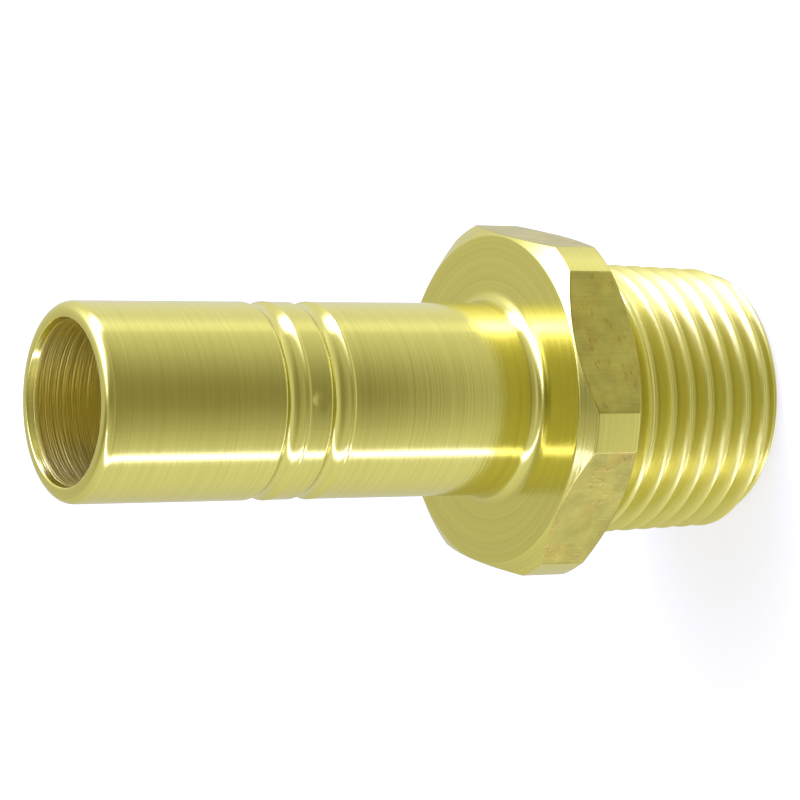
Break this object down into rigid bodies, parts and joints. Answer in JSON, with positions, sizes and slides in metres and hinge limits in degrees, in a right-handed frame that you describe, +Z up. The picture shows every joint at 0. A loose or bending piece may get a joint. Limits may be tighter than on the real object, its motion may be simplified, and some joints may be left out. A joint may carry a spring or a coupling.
{
  "type": "threaded stem adaptor",
  "caption": "Brass pipe adaptor: a plain tube stem with ring grooves, a hexagon collar and a male taper pipe thread, with one through bore.",
  "frame": {"origin": "centre of the thread's flat end, which the piece stands on", "axes": "+Z up the piece's axis, from the thread's end towards the stem's end; one corner of the hexagon collar points along -Y"},
  "size_m": [0.0258, 0.0282, 0.0577],
  "materials": {
    "brass_body": "fine turned brass, milled flats"
  },
  "bodies": {
    "root": {"adaptor_body": "brass_body"}
  },
  "joints": []
}
